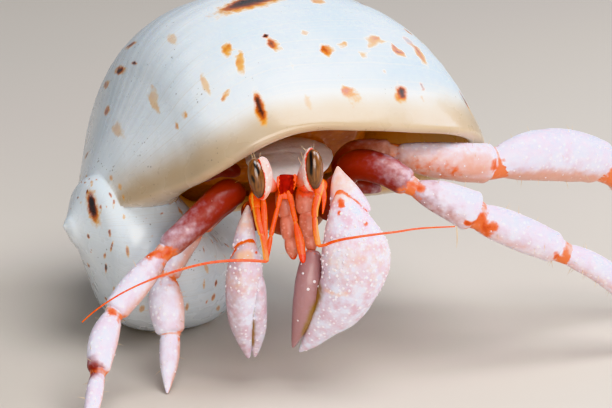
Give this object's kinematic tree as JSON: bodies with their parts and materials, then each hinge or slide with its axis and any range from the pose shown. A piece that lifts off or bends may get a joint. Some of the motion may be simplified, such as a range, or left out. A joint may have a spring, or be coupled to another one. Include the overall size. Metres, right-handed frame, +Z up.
{
  "type": "hermit crab",
  "caption": "Life-size still model of a young land hermit crab looking out under a round white sea-snail shell, legs spread, feelers and claws forward.",
  "frame": {"origin": "middle of the small flat under the shell, on the floor", "axes": "+Z up, the crab faces -Y, +X towards the crab's left side"},
  "size_m": [0.0392, 0.0349, 0.0221],
  "materials": {
    "shell_porcelain": "smooth glossy porcelain-like shell, white with rust brown dashes",
    "limb_cuticle": "satin cuticle, pale lilac pink with orange patches at the joints",
    "claw_cuticle": "satin cuticle, pale lilac with white grains",
    "feeler_cuticle": "glossy vivid orange cuticle",
    "mouthpart_cuticle": "satin red orange cuticle",
    "body_skin": "soft mauve grey skin",
    "cornea_glass": "wet glossy brown eye"
  },
  "bodies": {
    "root": {"shell": "shell_porcelain", "abdomen": "body_skin", "shield": "body_skin", "thorax": "body_skin", "eyestalk_right": "limb_cuticle", "cornea_right": "cornea_glass", "eyestalk_left": "limb_cuticle", "cornea_left": "cornea_glass", "ocular_plate": "mouthpart_cuticle", "antennule_peduncle_right": "feeler_cuticle", "antennule_flagellum_right": "feeler_cuticle", "antennule_peduncle_left": "feeler_cuticle", "antennule_flagellum_left": "feeler_cuticle", "antenna_peduncle_right": "feeler_cuticle", "antenna_flagellum_right": "feeler_cuticle", "antenna_peduncle_left": "feeler_cuticle", "antenna_flagellum_left": "feeler_cuticle", "maxilliped_right": "mouthpart_cuticle", "maxilliped_left": "mouthpart_cuticle", "left_claw_merus": "claw_cuticle", "left_claw_palm": "claw_cuticle", "left_claw_dactyl": "claw_cuticle", "left_claw_carpus": "claw_cuticle", "right_claw_merus": "claw_cuticle", "right_claw_palm": "claw_cuticle", "right_claw_dactyl": "claw_cuticle", "right_claw_carpus": "claw_cuticle", "leg_2_right_merus": "limb_cuticle", "leg_2_right_carpus": "limb_cuticle", "leg_2_right_propodus": "limb_cuticle", "leg_2_right_dactyl": "limb_cuticle", "leg_3_right_merus": "limb_cuticle", "leg_3_right_carpus": "limb_cuticle", "leg_3_right_propodus": "limb_cuticle", "leg_3_right_dactyl": "limb_cuticle", "leg_2_left_merus": "limb_cuticle", "leg_2_left_carpus": "limb_cuticle", "leg_2_left_propodus": "limb_cuticle", "leg_2_left_dactyl": "limb_cuticle", "leg_3_left_merus": "limb_cuticle", "leg_3_left_carpus": "limb_cuticle", "leg_3_left_propodus": "limb_cuticle", "leg_3_left_dactyl": "limb_cuticle", "leg_4_right": "limb_cuticle", "leg_4_left": "limb_cuticle"}
  },
  "joints": []
}
